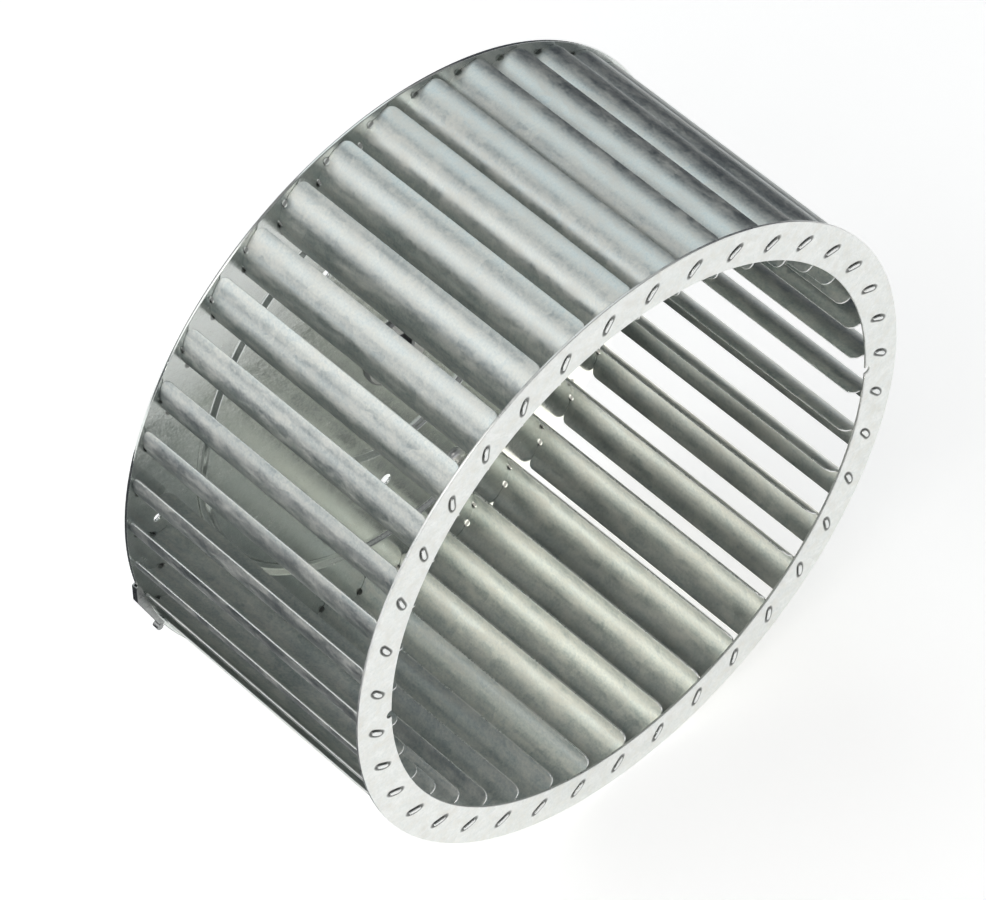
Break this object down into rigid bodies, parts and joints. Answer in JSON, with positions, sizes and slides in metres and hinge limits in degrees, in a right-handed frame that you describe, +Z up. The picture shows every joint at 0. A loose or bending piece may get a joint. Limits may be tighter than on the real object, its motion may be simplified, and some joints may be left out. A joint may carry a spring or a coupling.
{
  "type": "blower wheel",
  "caption": "Single-inlet forward-curved blower wheel: slotted inlet ring, dished back plate, curved blades held by peened tabs, and a bored hub with a set screw.",
  "frame": {"origin": "middle of the hub's bore, on the spin axis", "axes": "+Y along the spin axis from the inlet ring towards the hub's rear face, where the motor is; +Z up through the set screw; +X to the right when looking into the inlet"},
  "size_m": [0.2413, 0.138, 0.2412],
  "materials": {
    "ring_steel": "galvanised sheet, pale and matt with faint spangle",
    "plate_steel": "galvanised sheet with faint radial streaks",
    "blade_steel": "galvanised sheet with fine spangle, slightly blue-green",
    "hub_steel": "turned and zinc-plated steel",
    "screw_steel": "black oxide finish",
    "rivet_metal": "plain, slightly dulled",
    "clip_steel": "bright zinc-plated spring steel"
  },
  "bodies": {
    "wheel": {"inlet_ring": "ring_steel", "back_plate": "plate_steel", "blade_01": "blade_steel", "blade_02": "blade_steel", "blade_03": "blade_steel", "blade_04": "blade_steel", "blade_05": "blade_steel", "blade_06": "blade_steel", "blade_07": "blade_steel", "blade_08": "blade_steel", "blade_09": "blade_steel", "blade_10": "blade_steel", "blade_11": "blade_steel", "blade_12": "blade_steel", "blade_13": "blade_steel", "blade_14": "blade_steel", "blade_15": "blade_steel", "blade_16": "blade_steel", "blade_17": "blade_steel", "blade_18": "blade_steel", "blade_19": "blade_steel", "blade_20": "blade_steel", "blade_21": "blade_steel", "blade_22": "blade_steel", "blade_23": "blade_steel", "blade_24": "blade_steel", "blade_25": "blade_steel", "blade_26": "blade_steel", "blade_27": "blade_steel", "blade_28": "blade_steel", "blade_29": "blade_steel", "blade_30": "blade_steel", "blade_31": "blade_steel", "blade_32": "blade_steel", "blade_33": "blade_steel", "blade_34": "blade_steel", "blade_35": "blade_steel", "blade_36": "blade_steel", "blade_37": "blade_steel", "blade_38": "blade_steel", "hub": "hub_steel", "balance_rivet": "rivet_metal", "balance_clip": "clip_steel"},
    "set_screw": {"set_screw": "screw_steel"}
  },
  "joints": [
    {"name": "set_screw_slide", "type": "slide", "parent": "wheel", "child": "set_screw", "axis": [0, 0, 1], "range_m": [0, 0.006]}
  ]
}
